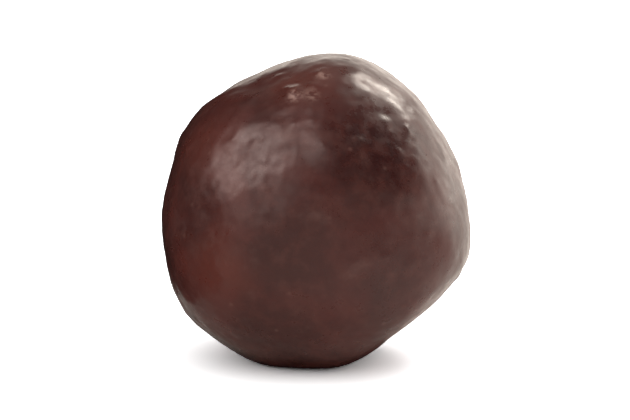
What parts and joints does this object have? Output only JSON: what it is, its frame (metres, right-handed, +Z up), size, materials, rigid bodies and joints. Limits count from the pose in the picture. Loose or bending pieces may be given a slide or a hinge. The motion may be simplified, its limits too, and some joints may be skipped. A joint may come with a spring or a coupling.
{
  "type": "chocolate coated strawberry",
  "caption": "Whole strawberry in a thick, smooth dark chocolate coat: a rounded, blunt, slightly lumpy bite that rests on a small flat spot.",
  "frame": {"origin": "middle of the bounding box's underside, in the plane of the small flat spot that it rests on", "axes": "+Z up as it stands; -Y is the front, the side that the picture shows; +X is to the right seen from the front"},
  "size_m": [0.0242, 0.0238, 0.024],
  "materials": {
    "dark_chocolate": "semi-gloss dark chocolate with a polished, faintly mottled surface"
  },
  "bodies": {
    "root": {"coated_strawberry": "dark_chocolate"}
  },
  "joints": []
}
